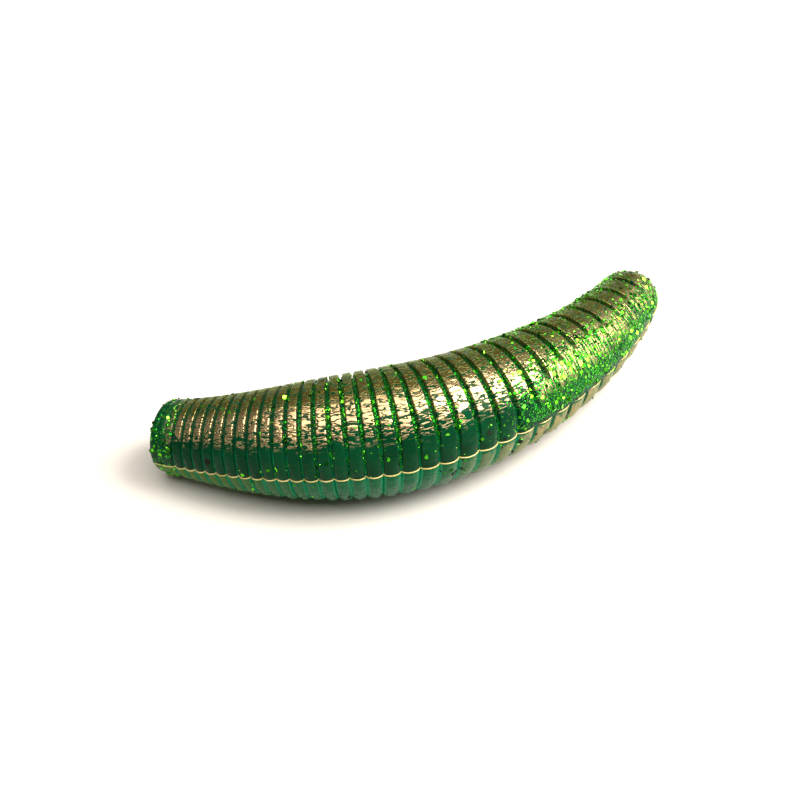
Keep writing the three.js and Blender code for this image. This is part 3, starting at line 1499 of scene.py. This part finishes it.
@dataclass
class WormBody:
    """The whole casting: its sleeves from head to tail, with their finishes."""

    line: Centreline
    pattern: RibPattern = field(default_factory=RibPattern)
    margin: float = 0.35
    head_seed: int = 1
    tail_seed: int = 40

    def plan(self) -> list[Sleeve]:
        """Divides the skin at the groove in the middle of each section of the frame.

        Returns:
            The sleeves, from head to tail.
        """
        shape = SleeveShape(self.line, self.pattern)
        body = Plastisol("BodyPlastisol").made()
        sections = sorted(frame["record"]["behaviour"]["bodies"])
        joints = {frozenset((j["parent"], j["child"])): j for j in frame["joints"]}
        cuts = self.cuts(sections)
        rows, nodes = shape.head_rows(cuts[0]), self.ribs(-1, cuts[0])
        end = sections[:1]
        sleeves = [Sleeve("skin_head", rows, shape, nodes, "head_plastisol", body, end, seed=self.head_seed)]
        for i, (first, last) in enumerate(zip(cuts, cuts[1:], strict=False)):
            rows, nodes, pair = shape.ribs_between(first, last), self.ribs(first, last), sections[i : i + 2]
            name, bend = f"skin_{i + 1:02d}", self.zone(joints[frozenset(pair)], first, last)
            seed = self.head_seed + 1 + i
            sleeves.append(Sleeve(name, rows, shape, nodes, "body_plastisol", body, pair, bend, seed))
        rows, nodes, end = shape.tip_rows(cuts[-1]), ["tail_tip"], sections[-1:]
        seed = self.tail_seed
        sleeves.append(Sleeve("skin_tail", rows, shape, nodes, "tail_plastisol", body, end, seed=seed))
        return sleeves

    def cuts(self, sections: list[str]) -> list[int]:
        """The groove in the middle of each section: the last one before the section's tailward hinge.

        Args:
            sections: The bodies of the frame, from head to tail.

        Returns:
            A groove for each body.
        """
        members = frame["record"]["behaviour"]["bodies"]
        found = []
        for name in sections:
            ribs = [int(node.split("_")[1]) for node in members[name] if node.startswith("rib_")]
            found.append(max(ribs) if "tail_tip" in members[name] else max(ribs) - 1)
        return found

    @staticmethod
    def ribs(first: int, last: int) -> list[str]:
        """CAD nodes between two grooves, where groove -1 is the flat of the head."""
        names = [f"rib_{rib:02d}" for rib in range(max(first, 0) + 1, last + 1)]
        return ["head_end", *names] if first < 0 else names

    def zone(self, hinge: dict, first: int, last: int) -> tuple[Vector, Vector]:
        """The stretch of a sleeve about its hinge: past its first groove to before its last, in line through
        the hinge.

        Args:
            hinge: The joint between the sleeve's two bodies.
            first: The groove that the sleeve starts in.
            last: The groove that it ends in.

        Returns:
            The two ends of that stretch, in metres.
        """
        centre = Vector(hinge["pos_m"])
        stations = [self.pattern.grooves[first], self.pattern.grooves[last]]
        ends = self.line.point(np.array(stations)) * MM
        axis = (Vector(ends[1]) - Vector(ends[0])).normalized()
        before = (Vector(ends[0]) - centre).dot(axis) + self.margin * MM
        after = (Vector(ends[1]) - centre).dot(axis) - self.margin * MM
        return centre + axis * before, centre + axis * after

    def build(self) -> None:
        """Makes every sleeve and what lies on it."""
        cutter, scatter, roller = RibCutter(), FlakeScatter(), FlashRoller()
        glitter, pepper, flash = Glitter().made(), Pepper().made(), Flash().made()
        for sleeve in self.plan():
            piece, tube = sleeve.skin_piece(cutter)
            pieces = [piece, sleeve.flash_piece(tube, roller, flash)]
            pieces.append(sleeve.flake_piece(tube, Flakes.GREEN, scatter, glitter))
            pieces.append(sleeve.flake_piece(tube, Flakes.BLACK, scatter, pepper))
            for made in pieces:
                if made is not None:
                    sleeve.follow(made)
                    LOG.info("%s: %d faces", made.name, len(made.data.polygons))


@dataclass(frozen=True)
class SoftBox:
    """A rectangular soft light aimed at the worm. An azimuth of 0 is on the camera's side and 90 is at +X."""

    name: str
    azimuth: float
    elevation: float
    distance: float
    size: tuple[float, float]
    watts: float
    colour: Colour

    def place(self, target: Vector) -> None:
        """Adds the light, facing the target.

        Args:
            target: What it is aimed at, in metres.
        """
        data = bpy.data.lights.new(self.name, "AREA")
        data.shape = "RECTANGLE"
        data.size, data.size_y = self.size
        data.energy = self.watts
        data.color = self.colour
        lamp = bpy.data.objects.new(self.name, data)
        turn, lift = math.radians(self.azimuth), math.radians(self.elevation)
        away = Vector((math.sin(turn) * math.cos(lift), -math.cos(turn) * math.cos(lift), math.sin(lift)))
        lamp.location = target + away * self.distance
        lamp.rotation_euler = away.to_track_quat("Z", "Y").to_euler()
        bpy.context.scene.collection.objects.link(lamp)


@dataclass(frozen=True)
class Studio:
    """Pale floor, soft light and the camera, in metres and degrees."""

    look_at: tuple[float, float, float] = (-0.00203, 0.00119, 0.0)
    elevation: float = 43.3
    distance: float = 0.1677
    lens: float = 67.5
    sensor: float = 36.0
    nearest: float = 0.005
    floor_radius: float = 0.42
    floor_sides: int = 96
    paper: Colour = (0.6, 0.585, 0.555)
    paper_roughness: float = 0.85
    wall: Colour = (0.5, 0.465, 0.41)
    ceiling: Colour = (0.081, 0.065, 0.04)
    wall_top: Range = (0.1, 0.35)
    aim_height: float = 0.006
    lamps: tuple[SoftBox, ...] = (
        SoftBox("Key", 0.0, 80.0, 0.34, (0.48, 0.34), 2.1, (1.0, 0.95, 0.9)),
        SoftBox("Side", 90.0, 42.0, 0.42, (0.26, 0.4), 4.6, (1.0, 0.95, 0.9)),
        SoftBox("Back", 180.0, 42.0, 0.5, (0.5, 0.35), 0.1, (1.0, 0.68, 0.22)),
    )

    def camera(self) -> None:
        """Adds the camera, looking along +Y and down at the worm."""
        data = bpy.data.cameras.new("Camera")
        data.lens = self.lens
        data.sensor_width = self.sensor
        data.clip_start = self.nearest
        camera = bpy.data.objects.new("Camera", data)
        lift = math.radians(self.elevation)
        away = Vector((0, -math.cos(lift), math.sin(lift)))
        camera.location = Vector(self.look_at) + away * self.distance
        camera.rotation_euler = away.to_track_quat("Z", "Y").to_euler()
        bpy.context.scene.collection.objects.link(camera)
        bpy.context.scene.camera = camera

    def floor(self) -> None:
        """Adds the floor that the belly lies on."""
        mesh = bpy.data.meshes.new("Floor")
        turns = [2 * math.pi * i / self.floor_sides for i in range(self.floor_sides)]
        rim = [(self.floor_radius * math.cos(turn), self.floor_radius * math.sin(turn), 0) for turn in turns]
        mesh.from_pydata(rim, [], [tuple(range(self.floor_sides))])
        finish = Finish("FloorPaper", self.paper_roughness, Base_Color=(*self.paper, 1.0))
        mesh.materials.append(finish.material)
        floor = bpy.data.objects.new("Floor", mesh)
        bpy.context.scene.collection.objects.link(floor)

    def lights(self) -> None:
        """Adds the soft boxes and the warm room round them."""
        for lamp in self.lamps:
            lamp.place(Vector((0, 0, self.aim_height)))
        world = bpy.data.worlds.new("Room")
        bpy.context.scene.world = world
        world.use_nodes = True
        tree = world.node_tree
        place = tree.nodes.new("ShaderNodeTexCoord")
        split = tree.nodes.new("ShaderNodeSeparateXYZ")
        tree.links.new(place.outputs["Generated"], split.inputs[0])
        mix = tree.nodes.new("ShaderNodeMixRGB")
        mix.inputs["Color1"].default_value = (*self.wall, 1.0)
        mix.inputs["Color2"].default_value = (*self.ceiling, 1.0)
        tree.links.new(Number(tree, split.outputs["Z"]).ramp(*self.wall_top).socket, mix.inputs["Fac"])
        tree.links.new(mix.outputs[0], tree.nodes["Background"].inputs["Color"])
        bpy.context.scene.view_settings.view_transform = "Standard"


def head_place() -> tuple[float, float, float]:
    """The middle of the head's flat in millimetres, from the frame's own mount."""
    mount = next(m for m in frame["record"]["mounts"] if m["name"] == "head_flat")
    return tuple(value / MM for value in mount["pos_m"])


def main() -> None:
    """Builds the worm and the studio round it."""
    logging.basicConfig(level=logging.INFO, format="%(name)s %(message)s")
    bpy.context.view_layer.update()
    studio = Studio()
    studio.camera()
    studio.floor()
    studio.lights()
    WormBody(Centreline(head_place())).build()


if __name__ == "__main__":
    main()
